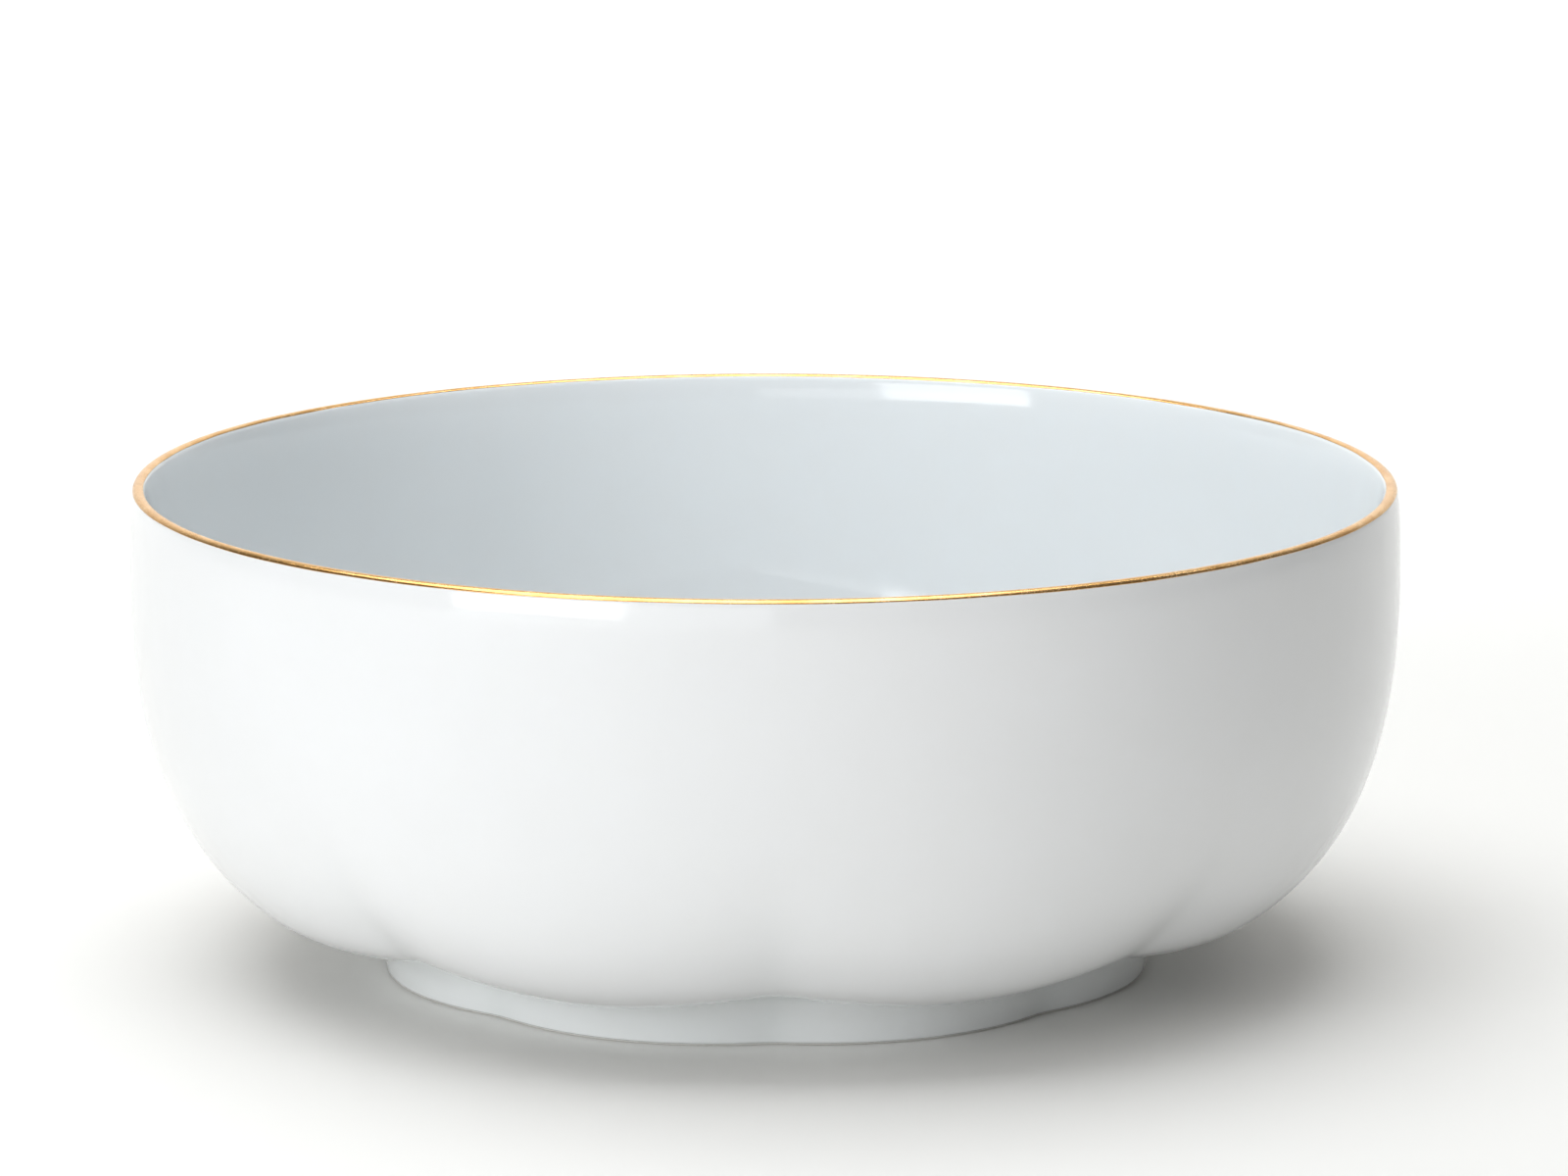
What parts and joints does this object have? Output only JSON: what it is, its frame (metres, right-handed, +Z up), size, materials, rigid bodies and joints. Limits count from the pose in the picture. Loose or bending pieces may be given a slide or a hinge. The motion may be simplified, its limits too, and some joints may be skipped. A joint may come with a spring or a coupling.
{
  "type": "porcelain serving bowl",
  "caption": "Round porcelain serving bowl with softly lobed lower walls on a lobed foot ring, clear glazed all over, with a gilded lip.",
  "frame": {"origin": "centre of the standing edge of the foot ring, on the bowl's axis", "axes": "+Z up along the bowl's axis; the creases between the lobes lie on the X and Y axes and midway between them"},
  "size_m": [0.2396, 0.2396, 0.092],
  "materials": {
    "porcelain": "bare fired porcelain, matt, seen only at the standing edge",
    "slip": "fired slip, matt, hidden",
    "glaze": "clear gloss glaze over white porcelain",
    "gold": "thin fired gold, burnished, a little worn"
  },
  "bodies": {
    "root": {"porcelain_body": "porcelain", "foot_ring": "porcelain", "slip_seam": "slip", "glaze_outside": "glaze", "glaze_inside": "glaze", "glaze_foot": "glaze", "glaze_well": "glaze", "gilded_lip": "gold"}
  },
  "joints": []
}
